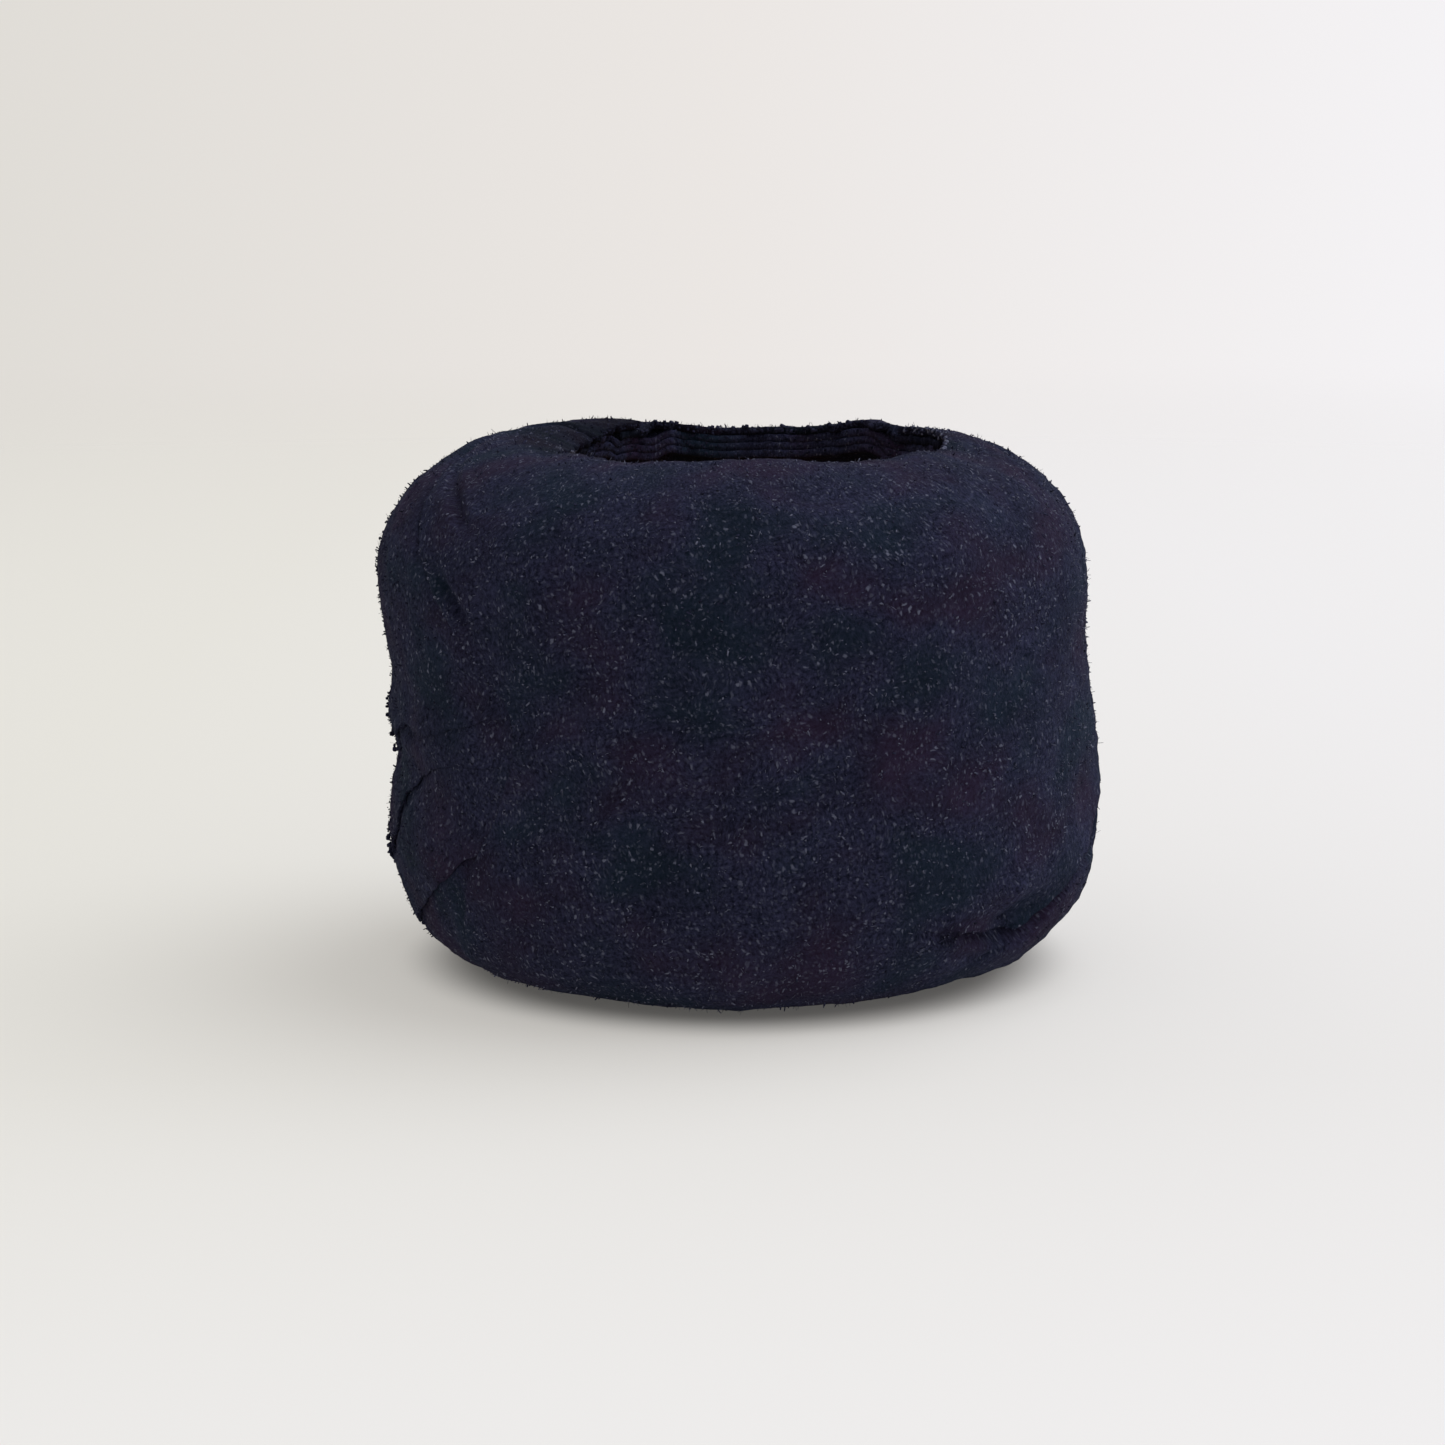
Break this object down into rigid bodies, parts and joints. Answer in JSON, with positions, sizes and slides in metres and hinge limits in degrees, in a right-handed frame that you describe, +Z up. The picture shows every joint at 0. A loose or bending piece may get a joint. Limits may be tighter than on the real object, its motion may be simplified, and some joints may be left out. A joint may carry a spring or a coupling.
{
  "type": "cloth-wrapped rosin cake",
  "caption": "Rounded drum of dark flecked cloth strips wound round a cast rosin block, with frayed raw edges and a round mouth open on top.",
  "frame": {"origin": "centre of the flat base, where the drum rests", "axes": "+Z up through the open mouth; -Y is the front, where the broad front strip lies; +X is to the right"},
  "size_m": [0.046, 0.046, 0.0336],
  "materials": {
    "rosin": "glassy amber resin, dusted white where the bow has worn it",
    "card": "plain grey-brown card",
    "cloth": "dark navy cloth flecked with pale slub yarn, raw frayed edges"
  },
  "bodies": {
    "root": {"rosin_block": "rosin", "backing_disc": "card", "first_wrap": "cloth", "second_wrap": "cloth", "third_wrap": "cloth", "front_wrap": "cloth", "left_wrap": "cloth", "waist_wrap": "cloth", "lower_wrap": "cloth", "back_wrap": "cloth", "base_cloth": "cloth"}
  },
  "joints": []
}
